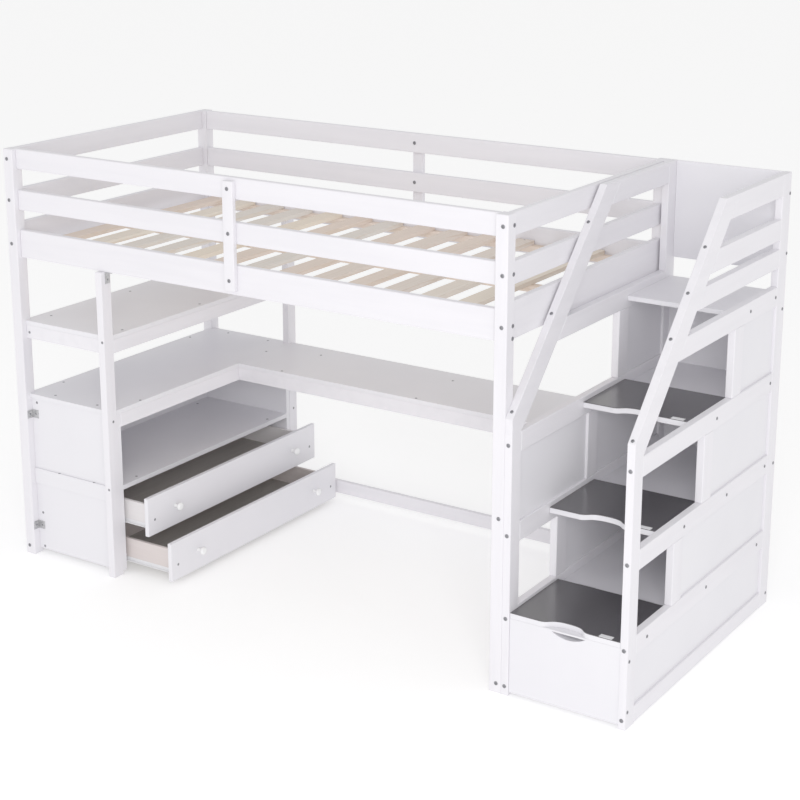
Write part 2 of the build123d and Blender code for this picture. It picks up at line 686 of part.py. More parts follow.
def main():
    os.makedirs("parts", exist_ok=True)
    bed_posts()
    long_side_rails()
    end_rails()
    slats()
    inner_posts()
    upper_shelf()
    desk()
    cabinet()
    for name in DRAWER_LOW:
        drawer(name)
    stair_frames()
    treads()
    stair_box()
    hinges()
    hardware()


if __name__ == "__main__":
    main()
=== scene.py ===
import logging
import math
from dataclasses import dataclass, field
from enum import Enum

import bmesh
import bpy
from mathutils import Matrix, Vector
from mathutils.bvhtree import BVHTree


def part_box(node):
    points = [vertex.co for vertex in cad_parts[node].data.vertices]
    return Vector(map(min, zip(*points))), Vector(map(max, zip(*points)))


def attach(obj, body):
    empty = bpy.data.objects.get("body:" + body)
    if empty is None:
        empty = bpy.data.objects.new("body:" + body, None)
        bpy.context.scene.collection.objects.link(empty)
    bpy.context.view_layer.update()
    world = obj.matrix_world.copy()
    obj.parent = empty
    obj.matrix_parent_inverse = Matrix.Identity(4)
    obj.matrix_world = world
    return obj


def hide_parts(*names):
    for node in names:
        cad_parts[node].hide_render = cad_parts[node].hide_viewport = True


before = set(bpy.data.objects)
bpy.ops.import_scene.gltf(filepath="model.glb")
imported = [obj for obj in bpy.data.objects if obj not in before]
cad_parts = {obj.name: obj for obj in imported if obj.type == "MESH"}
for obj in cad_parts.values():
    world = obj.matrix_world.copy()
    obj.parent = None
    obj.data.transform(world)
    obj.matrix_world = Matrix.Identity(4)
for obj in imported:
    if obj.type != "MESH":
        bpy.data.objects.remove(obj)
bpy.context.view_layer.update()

# A white loft bed over an L-shaped desk, with a drawer cabinet under its left
# end and a storage staircase at its right end. Every length is in metres.

LOG = logging.getLogger("loft_bed")
PLACE_DIGITS = 7
SCREW_TURN = 0.7
Colour = tuple[float, float, float]


class Body(Enum):
    """The moving groups of the bed."""

    FRAME = "bed_frame"
    LID = "storage_lid"
    UPPER_DRAWER = "upper_drawer"
    LOWER_DRAWER = "lower_drawer"


class Slot(Enum):
    """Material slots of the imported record."""

    PAINT = "white_paint"
    BOARD = "white_board"
    PINE = "pine"
    TREAD = "tread_finish"
    DRAWER = "drawer_wood"
    KNOB = "knob_white"
    RUNNER = "runner_steel"
    GALVANISED = "galvanised"
    BOLT = "bolt_steel"


class Grain(Enum):
    """The direction that the wood grain of a board runs in."""

    X = 0
    Y = 1
    Z = 2

    def stretch(self, across: float, along: float) -> Vector:
        """Scale of a pattern that is fine across the grain and long along it.

        Args:
            across: Repeats per metre across the grain.
            along: Repeats per metre along the grain.

        Returns:
            The scale for a Mapping node.
        """
        scale = Vector((across, across, across))
        scale[self.value] = along
        return scale


# ------------------------------------------------------------------ shader maths
class Value:
    """A socket in a shader graph. Sums and products of it add Math nodes."""

    def __init__(self, graph: "Graph", socket: bpy.types.NodeSocket) -> None:
        """Wrap one output socket."""
        self.graph = graph
        self.socket = socket

    def _math(self, operation: str, first: "Value | float", second: "Value | float") -> "Value":
        """Add one Math node and return its result."""
        return self.graph.node("ShaderNodeMath", {"operation": operation}, {0: first, 1: second})

    def __add__(self, other: "Value | float") -> "Value":
        """Sum."""
        return self._math("ADD", self, other)

    def __radd__(self, other: float) -> "Value":
        """Reflected sum."""
        return self._math("ADD", other, self)

    def __sub__(self, other: "Value | float") -> "Value":
        """Difference."""
        return self._math("SUBTRACT", self, other)

    def __rsub__(self, other: float) -> "Value":
        """Reflected difference."""
        return self._math("SUBTRACT", other, self)

    def __mul__(self, other: "Value | float") -> "Value":
        """Product."""
        return self._math("MULTIPLY", self, other)

    def __rmul__(self, other: float) -> "Value":
        """Reflected product."""
        return self._math("MULTIPLY", other, self)

    def __truediv__(self, other: "Value | float") -> "Value":
        """Quotient."""
        return self._math("DIVIDE", self, other)

    def __rtruediv__(self, other: float) -> "Value":
        """Reflected quotient."""
        return self._math("DIVIDE", other, self)

    def floor(self) -> "Value":
        """Largest whole number below."""
        return self._math("FLOOR", self, 0.0)

    def above(self, limit: float) -> "Value":
        """1 where the value is over the limit, else 0."""
        return self._math("GREATER_THAN", self, limit)

    def output(self, name: str) -> "Value":
        """Another output of the node that this value comes from."""
        return Value(self.graph, self.socket.node.outputs[name])


class Graph:
    """The node tree of one material."""

    def __init__(self, name: str) -> None:
        """Start an empty material.

        Args:
            name: The material's name.
        """
        self.material = bpy.data.materials.new(name)
        self.material.use_nodes = True
        self.tree = self.material.node_tree
        self.tree.nodes.clear()
        self.place = self.node("ShaderNodeTexCoord").output("Object")

    def node(
        self,
        kind: str,
        settings: dict | None = None,
        inputs: dict | None = None,
        result: int | str = 0,
    ) -> Value:
        """Add a node.

        Args:
            kind: The node's type.
            settings: Properties that are set first; "stops" fills a colour ramp.
            inputs: Values or links, by socket name or number.
            result: The output to return.

        Returns:
            The chosen output.
        """
        made = self.tree.nodes.new(kind)
        for key, value in (settings or {}).items():
            if key == "stops":
                self._fill_ramp(made.color_ramp, value)
            else:
                setattr(made, key, value)
        for key, value in (inputs or {}).items():
            self.feed(made.inputs[key], value)
        return Value(self, made.outputs[result])

    def feed(self, socket: bpy.types.NodeSocket, value: object) -> None:
        """Link or set one input socket."""
        if isinstance(value, Value):
            self.tree.links.new(value.socket, socket)
        elif socket.type == "RGBA":
            socket.default_value = (*value, 1.0)
        else:
            socket.default_value = value

    @staticmethod
    def _fill_ramp(ramp: bpy.types.ColorRamp, stops: list[tuple[float, Colour]]) -> None:
        """Give a ramp its stops."""
        while len(ramp.elements) < len(stops):
            ramp.elements.new(1.0)
        for element, (position, colour) in zip(ramp.elements, stops):
            element.position = position
            element.color = (*colour, 1.0)

    def scaled(self, scale: Vector) -> Value:
        """Object coordinates times a scale, one number for each axis."""
        return self.node("ShaderNodeMapping", None, {"Vector": self.place, "Scale": scale})

    def noise(self, vector: Value, scale: float, detail: float = 2.0) -> Value:
        """Smooth noise from 0 to 1.

        Args:
            vector: Where the noise is read.
            scale: Repeats per unit of that vector.
            detail: Octaves.

        Returns:
            The noise.
        """
        inputs = {"Vector": vector, "Scale": scale, "Detail": detail}
        return self.node("ShaderNodeTexNoise", None, inputs)

    def blend(self, factor: Value | float, first: object, second: object) -> Value:
        """Mix two colours by a factor."""
        settings = {"data_type": "RGBA", "clamp_factor": True}
        return self.node("ShaderNodeMix", settings, {0: factor, 6: first, 7: second}, 2)

    def soften(self, value: Value, low: float, high: float) -> Value:
        """Smooth step: 0 below `low`, 1 above `high`."""
        settings = {"interpolation_type": "SMOOTHSTEP"}
        inputs = {0: value, 1: low, 2: high, 3: 0.0, 4: 1.0}
        return self.node("ShaderNodeMapRange", settings, inputs)

    def bump(self, height: Value, depth: float, strength: float) -> Value:
        """A normal from a height of 0 to 1 that stands for `depth` metres."""
        inputs = {"Height": height, "Distance": depth, "Strength": strength}
        return self.node("ShaderNodeBump", None, inputs)

    def surface(self, **sockets: object) -> bpy.types.Material:
        """Add the shader and return the finished material.

        Args:
            **sockets: Input names with underscores for spaces.

        Returns:
            The material.
        """
        named = {key.replace("_", " "): value for key, value in sockets.items()}
        shader = self.node("ShaderNodeBsdfPrincipled", None, named)
        self.node_output(shader)
        return self.material

    def node_output(self, shader: Value) -> None:
        """Send a shader to the material's output."""
        end = self.tree.nodes.new("ShaderNodeOutputMaterial")
        self.tree.links.new(shader.socket, end.inputs["Surface"])


# ---------------------------------------------------------------------- finishes
@dataclass(frozen=True)
class PaintedTimber:
    """Satin white paint on pine; the grain shows faintly through it."""

    grain: Grain
    tone: Colour = (0.768, 0.750, 0.790)
    shade: Colour = (0.740, 0.723, 0.764)
    grain_depth: float = 0.00022
    peel_depth: float = 0.00005

    def build(self) -> bpy.types.Material:
        """Make the material."""
        graph = Graph(f"painted_timber_{self.grain.name.lower()}")
        figure = graph.noise(graph.scaled(self.grain.stretch(230.0, 9.0)), 1.0, 4.0)
        broad = graph.noise(graph.scaled(self.grain.stretch(26.0, 2.2)), 1.0, 3.0)
        peel = graph.noise(graph.place, 850.0, 1.0)
        colour = graph.blend(graph.soften(broad, 0.35, 0.7), self.tone, self.shade)
        grained = graph.bump(figure * 0.6 + broad * 0.4, self.grain_depth, 0.55)
        inputs = {"Height": peel, "Distance": self.peel_depth, "Strength": 0.5, "Normal": grained}
        normal = graph.node("ShaderNodeBump", None, inputs)
        roughness = 0.34 + figure * 0.10 + broad * 0.08
        return graph.surface(Base_Color=colour, Roughness=roughness, Normal=normal)


@dataclass(frozen=True)
class LacqueredBoard:
    """Smooth white lacquer on a flat board, with a fine sprayed texture."""

    tone: Colour = (0.750, 0.738, 0.776)
    shade: Colour = (0.725, 0.714, 0.754)
    peel_depth: float = 0.00006

    def build(self) -> bpy.types.Material:
        """Make the material."""
        graph = Graph("lacquered_board")
        cloud = graph.noise(graph.place, 3.2, 3.0)
        peel = graph.noise(graph.place, 620.0, 2.0)
        ripple = graph.noise(graph.place, 45.0, 2.0)
        colour = graph.blend(graph.soften(cloud, 0.3, 0.75), self.tone, self.shade)
        normal = graph.bump(peel * 0.6 + ripple * 0.4, self.peel_depth, 0.5)
        roughness = 0.30 + cloud * 0.10 + peel * 0.05
        return graph.surface(Base_Color=colour, Roughness=roughness, Normal=normal)


@dataclass(frozen=True)
class BarePine:
    """Planed pine. Boards that lie side by side along X each have their own tone."""

    name: str
    grain: Grain
    first: float = 0.0
    pitch: float = 1.0
    pale: Colour = (0.80, 0.70, 0.575)
    cream: Colour = (0.80, 0.745, 0.66)
    pink: Colour = (0.76, 0.63, 0.54)
    grey: Colour = (0.72, 0.675, 0.62)
    latewood: Colour = (0.62, 0.48, 0.35)
    knot: Colour = (0.28, 0.16, 0.09)
    ring_scale: float = 38.0
    knot_scale: float = 6.5

    def build(self) -> bpy.types.Material:
        """Make the material."""
        graph = Graph(self.name)
        parts = graph.node("ShaderNodeSeparateXYZ", None, {0: graph.place}, "X")
        number = ((parts - self.first) / self.pitch + 0.5).floor()
        chance = graph.node("ShaderNodeTexWhiteNoise", {"noise_dimensions": "1D"}, {"W": number})
        stops = [(0.0, self.pale), (0.3, self.cream), (0.55, self.pink), (0.8, self.grey)]
        settings = {"stops": stops}
        tone = graph.node("ShaderNodeValToRGB", settings, {0: chance})
        shift = graph.node("ShaderNodeCombineXYZ", None, {0: chance * 3.7, 1: chance * 9.1})
        moved = graph.node("ShaderNodeVectorMath", {"operation": "ADD"}, {0: graph.place, 1: shift})
        knots = graph.node(
            "ShaderNodeTexVoronoi",
            {"voronoi_dimensions": "3D"},
            {"Vector": moved, "Scale": self.knot_scale},
        )
        picked = graph.node("ShaderNodeSeparateColor", None, {0: knots.output("Color")}).above(0.62)
        near = (1.0 - graph.soften(knots, 0.02, 0.26)) * picked
        spot = (1.0 - graph.soften(knots, 0.028, 0.052)) * picked
        stretched = graph.node(
            "ShaderNodeMapping",
            None,
            {"Vector": moved, "Scale": self.grain.stretch(1.0, 0.045)},
        )
        drift = graph.noise(stretched, 22.0, 2.0)
        bent = graph.node("ShaderNodeCombineXYZ", None, {0: drift * 0.05 + near * 0.022})
        path = graph.node("ShaderNodeVectorMath", {"operation": "ADD"}, {0: stretched, 1: bent})
        rings = graph.node(
            "ShaderNodeTexWave",
            {"wave_type": "BANDS", "bands_direction": "X", "wave_profile": "SAW"},
            {"Vector": path, "Scale": self.ring_scale, "Distortion": 1.6, "Detail": 2.0},
            "Fac",
        )
        fibre = graph.noise(graph.scaled(self.grain.stretch(900.0, 26.0)), 1.0, 3.0)
        late = graph.soften(rings, 0.45, 1.0) * 0.42 + fibre * 0.10
        grained = graph.blend(late, tone, self.latewood)
        colour = graph.blend(spot * 0.8 + near * 0.10, grained, self.knot)
        normal = graph.bump(fibre * 0.6 + rings * 0.4, 0.0002, 0.5)
        return graph.surface(Base_Color=colour, Roughness=0.55 + fibre * 0.15, Normal=normal)


@dataclass(frozen=True)
class DrawerPly:
    """Thin plywood of a drawer box, unpainted and matt."""

    name: str
    grain: Grain
    light: Colour
    dark: Colour

    def build(self) -> bpy.types.Material:
        """Make the material."""
        graph = Graph(self.name)
        streak = graph.noise(graph.scaled(self.grain.stretch(70.0, 4.0)), 1.0, 5.0)
        fibre = graph.noise(graph.scaled(self.grain.stretch(700.0, 22.0)), 1.0, 3.0)
        colour = graph.blend(streak * 0.7 + fibre * 0.3, self.dark, self.light)
        normal = graph.bump(fibre, 0.00025, 0.6)
        return graph.surface(Base_Color=colour, Roughness=0.52 + fibre * 0.2, Normal=normal)


@dataclass(frozen=True)
class TreadSheet:
    """Dark grey satin sheet on the treads, faintly brushed front to back."""

    dark: Colour = (0.032, 0.030, 0.034)
    light: Colour = (0.054, 0.051, 0.056)
    coat: float = 0.6
    coat_roughness: float = 0.16

    def build(self) -> bpy.types.Material:
        """Make the material."""
        graph = Graph("tread_sheet")
        brushed = graph.noise(graph.scaled(Grain.Y.stretch(420.0, 14.0)), 1.0, 2.0)
        cloud = graph.noise(graph.place, 9.0, 3.0)
        colour = graph.blend(brushed * 0.5 + cloud * 0.5, self.dark, self.light)
        normal = graph.bump(brushed * 0.7 + cloud * 0.3, 0.00008, 0.45)
        roughness = 0.24 + brushed * 0.10 + cloud * 0.06
        return graph.surface(
            Base_Color=colour,
            Roughness=roughness,
            Normal=normal,
            Coat_Weight=self.coat,
            Coat_Roughness=self.coat_roughness,
        )


@dataclass(frozen=True)
class Galvanised:
    """Zinc-coated sheet steel with its spangle."""

    dark: Colour = (0.42, 0.42, 0.43)
    light: Colour = (0.66, 0.66, 0.67)

    def build(self) -> bpy.types.Material:
        """Make the material."""
        graph = Graph("galvanised_steel")
        flakes = graph.node("ShaderNodeTexVoronoi", None, {"Vector": graph.place, "Scale": 260.0})
        tint = graph.node("ShaderNodeSeparateColor", None, {0: flakes.output("Color")})
        scratch = graph.noise(graph.scaled(Grain.X.stretch(1400.0, 60.0)), 1.0, 2.0)
        colour = graph.blend(tint, self.dark, self.light)
        normal = graph.bump(scratch, 0.00006, 0.5)
        return graph.surface(
            Base_Color=colour, Metallic=1.0, Roughness=0.32 + tint * 0.2, Normal=normal
        )


@dataclass(frozen=True)
class MouldedFinish:
    """A smooth opaque coat: powder coat, gloss lacquer or zinc plate."""

    name: str
    tone: Colour
    shade: Colour
    gloss: float
    metallic: float = 0.0
    coat: float = 0.0

    def build(self) -> bpy.types.Material:
        """Make the material."""
        graph = Graph(self.name)
        cloud = graph.noise(graph.place, 60.0, 2.0)
        grain = graph.noise(graph.place, 1500.0, 1.0)
        colour = graph.blend(cloud, self.tone, self.shade)
        normal = graph.bump(grain, 0.00004, 0.4)
        return graph.surface(
            Base_Color=colour,
            Metallic=self.metallic,
            Roughness=self.gloss + grain * 0.08,
            Coat_Weight=self.coat,
            Normal=normal,
        )


@dataclass(frozen=True)
class PlainFloor:
    """The pale floor that the bed stands on."""

    tone: Colour = (0.95, 0.95, 0.95)
    lift: float = 0.22

    def build(self) -> bpy.types.Material:
        """Make the material."""
        graph = Graph("plain_floor")
        return graph.surface(
            Base_Color=self.tone,
            Roughness=0.9,
            Emission_Color=(1.0, 1.0, 1.0),
            Emission_Strength=self.lift,
        )


@dataclass
class Palette:
    """Every finish of the bed, built once."""

    along_x: bpy.types.Material = field(default_factory=lambda: PaintedTimber(Grain.X).build())
    along_y: bpy.types.Material = field(default_factory=lambda: PaintedTimber(Grain.Y).build())
    upright: bpy.types.Material = field(default_factory=lambda: PaintedTimber(Grain.Z).build())
    board: bpy.types.Material = field(default_factory=lambda: LacqueredBoard().build())
    tread: bpy.types.Material = field(default_factory=lambda: TreadSheet().build())
    galvanised: bpy.types.Material = field(default_factory=lambda: Galvanised().build())
    ledger: bpy.types.Material = field(
        default_factory=lambda: BarePine("pine_ledger", Grain.X, pitch=9.0).build()
    )
    # The upper drawer's walls get a lighter, whiter ply than the lower drawer's pinkish one.
    ply_upper: bpy.types.Material = field(
        default_factory=lambda: DrawerPly(
            "drawer_ply_upper", Grain.X, (0.75, 0.72, 0.725), (0.68, 0.65, 0.655)
        ).build()
    )
    ply_lower: bpy.types.Material = field(
        default_factory=lambda: DrawerPly(
            "drawer_ply_lower", Grain.X, (0.68, 0.61, 0.595), (0.58, 0.515, 0.50)
        ).build()
    )
    # Drawer bottoms: the ply's own grain and tone, made far darker than the walls; that extra
    # darkness is painted shade for the shaded floor inside each drawer.
    ply_bottom_painted_shade: bpy.types.Material = field(
        default_factory=lambda: DrawerPly(
            "drawer_ply_bottom", Grain.Y, (0.47, 0.44, 0.415), (0.29, 0.265, 0.25)
        ).build()
    )
    powder: bpy.types.Material = field(
        default_factory=lambda: MouldedFinish(
            "powder_coat", (0.76, 0.76, 0.78), (0.71, 0.71, 0.73), 0.38
        ).build()
    )
    knob: bpy.types.Material = field(
        default_factory=lambda: MouldedFinish(
            "knob_lacquer", (0.86, 0.86, 0.865), (0.83, 0.83, 0.84), 0.16, coat=0.4
        ).build()
    )
    zinc: bpy.types.Material = field(
        default_factory=lambda: MouldedFinish(
            "dark_zinc", (0.30, 0.30, 0.32), (0.17, 0.17, 0.185), 0.34, metallic=0.9
        ).build()
    )


# --------------------------------------------------------------------- fasteners
@dataclass(frozen=True)
class Seat:
    """Where a fastener sits: a point on a face, that face's normal and a turn."""

    point: Vector
    normal: Vector
    turn: float = 0.0

    def matrix(self) -> Matrix:
        """Move from the fastener's own frame to its seat."""
        facing = self.normal.to_track_quat("Z", "Y").to_matrix().to_4x4()
        return Matrix.Translation(self.point) @ facing @ Matrix.Rotation(self.turn, 4, "Z")


def raise_rim(bm: bmesh.types.BMesh, edges: list, scale: float, lift: float) -> list:
    """Extrude a loop of edges straight along Z, and scale it.

    Args:
        bm: The mesh.
        edges: The loop.
        scale: How much wider or narrower the new loop is.
        lift: How far it moves along Z.

    Returns:
        The new loop's edges.
    """
    made = bmesh.ops.extrude_edge_only(bm, edges=edges)["geom"]
    verts = [item for item in made if isinstance(item, bmesh.types.BMVert)]
    bmesh.ops.scale(bm, vec=(scale, scale, 1.0), verts=verts)
    bmesh.ops.translate(bm, vec=(0.0, 0.0, lift), verts=verts)
    loop = set(verts)
    return [e for e in made if isinstance(e, bmesh.types.BMEdge) and set(e.verts) <= loop]


def place_key(point: Vector) -> tuple[float, ...]:
    """A point as numbers that sort the same way on every run."""
    return tuple(round(c, PLACE_DIGITS) for c in point)


def finish_template(bm: bmesh.types.BMesh, name: str) -> bpy.types.Mesh:
    """Turn a closed bmesh into a mesh with its faces pointing outwards.

    The operators leave vertices and faces in an order that changes from run to
    run, so both are written out by place.

    Args:
        bm: The closed bmesh, which is freed.
        name: The mesh's name.

    Returns:
        The mesh.
    """
    bmesh.ops.remove_doubles(bm, verts=bm.verts, dist=1e-7)
    bmesh.ops.recalc_face_normals(bm, faces=bm.faces)
    verts = sorted(bm.verts, key=lambda v: place_key(v.co))
    number = {vert: index for index, vert in enumerate(verts)}
    rings = []
    for face in bm.faces:
        ring = [number[vert] for vert in face.verts]
        start = ring.index(min(ring))
        rings.append(ring[start:] + ring[:start])
    mesh = bpy.data.meshes.new(name)
    mesh.from_pydata([tuple(vert.co) for vert in verts], [], sorted(rings))
    bm.free()
    return mesh


@dataclass(frozen=True)
class SocketHead:
    """Round bolt head with a hexagonal socket."""

    radius: float = 0.0065
    proud: float = 0.0015
    socket: float = 0.0031
    chamfer: float = 0.86
    wall_share: float = 0.65
    rim_share: float = 0.35
    socket_taper: float = 0.96
    socket_depth: float = 0.8
    segments: int = 24

    def template(self) -> bpy.types.Mesh:
        """Make the head, its foot at the origin and its socket facing +Z."""
        bm = bmesh.new()
        bmesh.ops.create_circle(bm, segments=self.segments, radius=self.radius)
        foot = list(bm.edges)
        wall = raise_rim(bm, foot, 1.0, self.proud * self.wall_share)
        top = raise_rim(bm, wall, self.chamfer, self.proud * self.rim_share)
        before = set(bm.edges)
        lift = Matrix.Translation((0.0, 0.0, self.proud))
        bmesh.ops.create_circle(bm, segments=6, radius=self.socket, matrix=lift)
        flats = [e for e in bm.edges if e not in before]
        bmesh.ops.subdivide_edges(bm, edges=flats, cuts=self.segments // 6 - 1)
        mouth = [e for e in bm.edges if e not in before]
        bmesh.ops.triangle_fill(bm, edges=top + mouth, use_beauty=True)
        floor = raise_rim(bm, mouth, self.socket_taper, -self.proud * self.socket_depth)
        bmesh.ops.contextual_create(bm, geom=floor)
        bmesh.ops.contextual_create(bm, geom=foot)
        return finish_template(bm, "socket_head")


@dataclass(frozen=True)
class CrossHead:
    """Countersunk screw head with a cross recess, standing just proud."""

    radius: float = 0.0050
    proud: float = 0.0007
    arm: float = 0.0027
    depth: float = 0.0006
    chamfer: float = 0.82
    taper: float = 0.8
    segments: int = 12

    def template(self) -> bpy.types.Mesh:
        """Make the head, its foot at the origin and its recess facing +Z."""
        bm = bmesh.new()
        bmesh.ops.create_circle(bm, segments=self.segments, radius=self.radius)
        foot = list(bm.edges)
        top = raise_rim(bm, foot, self.chamfer, self.proud)
        before = set(bm.edges)
        lift = Matrix.Translation((0.0, 0.0, self.proud))
        bmesh.ops.create_grid(bm, x_segments=3, y_segments=3, size=self.arm, matrix=lift)
        cells = [f for f in bm.faces if not set(f.edges) & before]
        reach = self.arm / 2
        corners = [f for f in cells if min(abs(c) for c in f.calc_center_median()[:2]) > reach]
        bmesh.ops.delete(bm, geom=corners, context="FACES")
        mouth = [e for e in bm.edges if e not in before and len(e.link_faces) == 1]
        bmesh.ops.delete(bm, geom=[f for f in cells if f.is_valid], context="FACES_ONLY")
        loose = [e for e in bm.edges if e not in before and e not in set(mouth)]
        bmesh.ops.delete(bm, geom=[e for e in loose if not e.link_faces], context="EDGES")
        bmesh.ops.triangle_fill(bm, edges=top + mouth, use_beauty=True)
        floor = raise_rim(bm, mouth, self.taper, -self.depth)
        bmesh.ops.contextual_create(bm, geom=floor)
        bmesh.ops.contextual_create(bm, geom=foot)
        return finish_template(bm, "cross_head")


# ------------------------------------------------------------------ sub-assemblies
@dataclass
class SubAssembly:
    """A group of CAD nodes and new pieces that are dressed together."""

    palette: Palette

    @property
    def corner(self) -> Vector:
        """The front-left corner of the bed on the floor."""
        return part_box("post_front_left")[0]

    def at(self, x: float, y: float, z: float) -> Vector:
        """A point measured from the front-left corner of the bed."""
        return self.corner + Vector((x, y, z))

    def dress(self, material: bpy.types.Material, *nodes: str) -> None:
        """Give CAD nodes a finish.

        Args:
            material: The finish.
            *nodes: Names of the nodes.
        """
        for name in nodes:
            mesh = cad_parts[name].data
            mesh.materials.clear()
            mesh.materials.append(material)
            LOG.info("dressed %s with %s", name, material.name)

    def add(
        self, name: str, bm: bmesh.types.BMesh, material: bpy.types.Material, body: Body, slot: Slot
    ) -> bpy.types.Object:
        """Make a piece from a bmesh and let it ride on a body.

        Args:
            name: The piece's name.
            bm: Its mesh, in place, which is freed.
            material: Its finish.
            body: The body it moves with.
            slot: The record's material slot; not used.

        Returns:
            The new object.
        """
        mesh = bpy.data.meshes.new(name)
        bm.to_mesh(mesh)
        bm.free()
        mesh.materials.append(material)
        piece = bpy.data.objects.new(name, mesh)
        bpy.context.scene.collection.objects.link(piece)
        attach(piece, body.value)
        LOG.info("made %s, %d faces, on %s", name, len(mesh.polygons), body.value)
        return piece

    def fasten(
        self, name: str, template: bpy.types.Mesh, seats: list[Seat], body: Body, slot: Slot
    ) -> bpy.types.Object:
        """Repeat a fastener on all its seats, as one piece.

        Args:
            name: The piece's name.
            template: One fastener.
            seats: Where the fasteners go.
            body: The body they move with.
            slot: The record's material slot.

        Returns:
            The new object.
        """
        bm = bmesh.new()
        for seat in seats:
            before = set(bm.verts)
            bm.from_mesh(template)
            fresh = [v for v in bm.verts if v not in before]
            bmesh.ops.transform(bm, matrix=seat.matrix(), verts=fresh)
        return self.add(name, bm, self.palette.zinc, body, slot)

    def screws(
        self, name: str, seats: list[Seat], body: Body, small: bool = False
    ) -> bpy.types.Object:
        """Put cross-head screws on their seats, each turned a little differently.

        Args:
            name: The piece's name.
            seats: Where the screws go.
            body: The body they move with.
            small: True for the screws of brackets, hinges and slats.

        Returns:
            The new object.
        """
        turned = [Seat(s.point, s.normal, SCREW_TURN * i) for i, s in enumerate(seats)]
        head = CrossHead(radius=0.0036, arm=0.0020) if small else CrossHead()
        return self.fasten(name, head.template(), turned, body, Slot.BOLT)


UP = Vector((0, 0, 1))
DOWN = Vector((0, 0, -1))
FRONT = Vector((0, -1, 0))
RIGHT = Vector((1, 0, 0))


@dataclass
class Bed(SubAssembly):
    """Posts, rails and the slatted deck."""

    slat_pitch: float = 0.137
    slat_width: float = 0.065
    slat_count: int = 14
    screw_in: float = 0.014

    def build(self) -> None:
        """Dress the timber and screw the slats down."""
        posts = [f"post_{side}_{end}" for side in ("front", "rear") for end in ("left", "right")]
        self.dress(self.palette.upright, *posts, "baluster_front", "baluster_rear")
        for side in ("front", "rear"):
            self.dress(self.palette.along_x, f"side_rail_{side}", f"guard_rails_{side}")
        self.dress(self.palette.along_y, "end_rails_left", "end_rails_right")
        self.dress(self.palette.ledger, "slat_supports")
        low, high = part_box("bed_slats")
        first = low.x + self.slat_width / 2
        slats = BarePine("pine_slats", Grain.Y, first=first, pitch=self.slat_pitch)
        self.dress(slats.build(), "bed_slats")
        seats = []
        for index in range(self.slat_count):
            x = first + index * self.slat_pitch
            for y in (low.y + self.screw_in, high.y - self.screw_in):
                seats.append(Seat(Vector((x, y, high.z)), UP))
        self.screws("slat_screws", seats, Body.FRAME, small=True)


